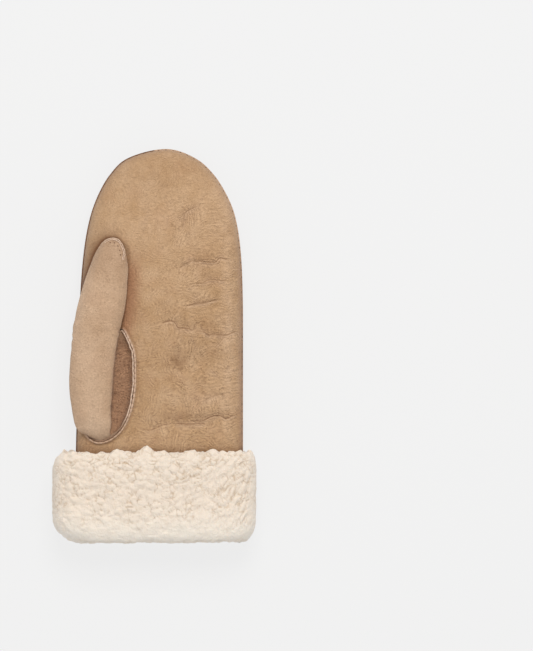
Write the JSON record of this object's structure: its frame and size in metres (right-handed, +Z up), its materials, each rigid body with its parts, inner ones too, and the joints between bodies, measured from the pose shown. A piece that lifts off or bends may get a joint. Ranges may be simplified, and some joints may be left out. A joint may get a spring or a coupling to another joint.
{
  "type": "leather mitten",
  "caption": "Left-hand sheepskin mitten lying palm up: a leather hand with a set-in thumb, a thick cuff of wool turned out, and a narrow beaded strap on the back of the cuff.",
  "frame": {"origin": "on the floor under the middle of the mitten's length and width", "axes": "+Y towards the fingertips, +X towards the little finger, +Z up out of the palm"},
  "size_m": [0.1394, 0.268, 0.0454],
  "materials": {
    "leather": "matt camel suede-like leather",
    "thumb_leather": "matt camel leather, a little paler",
    "lining_wool": "dense short cream wool",
    "cuff_wool": "dense curly cream wool",
    "beads": "small grey metal beads on a strip"
  },
  "bodies": {
    "root": {"palm_panel": "leather", "back_panel": "leather", "thumb": "thumb_leather", "palm_lining": "lining_wool", "back_lining": "lining_wool", "cuff_skin": "leather", "cuff_wool": "cuff_wool", "bead_strap": "beads"}
  },
  "joints": []
}
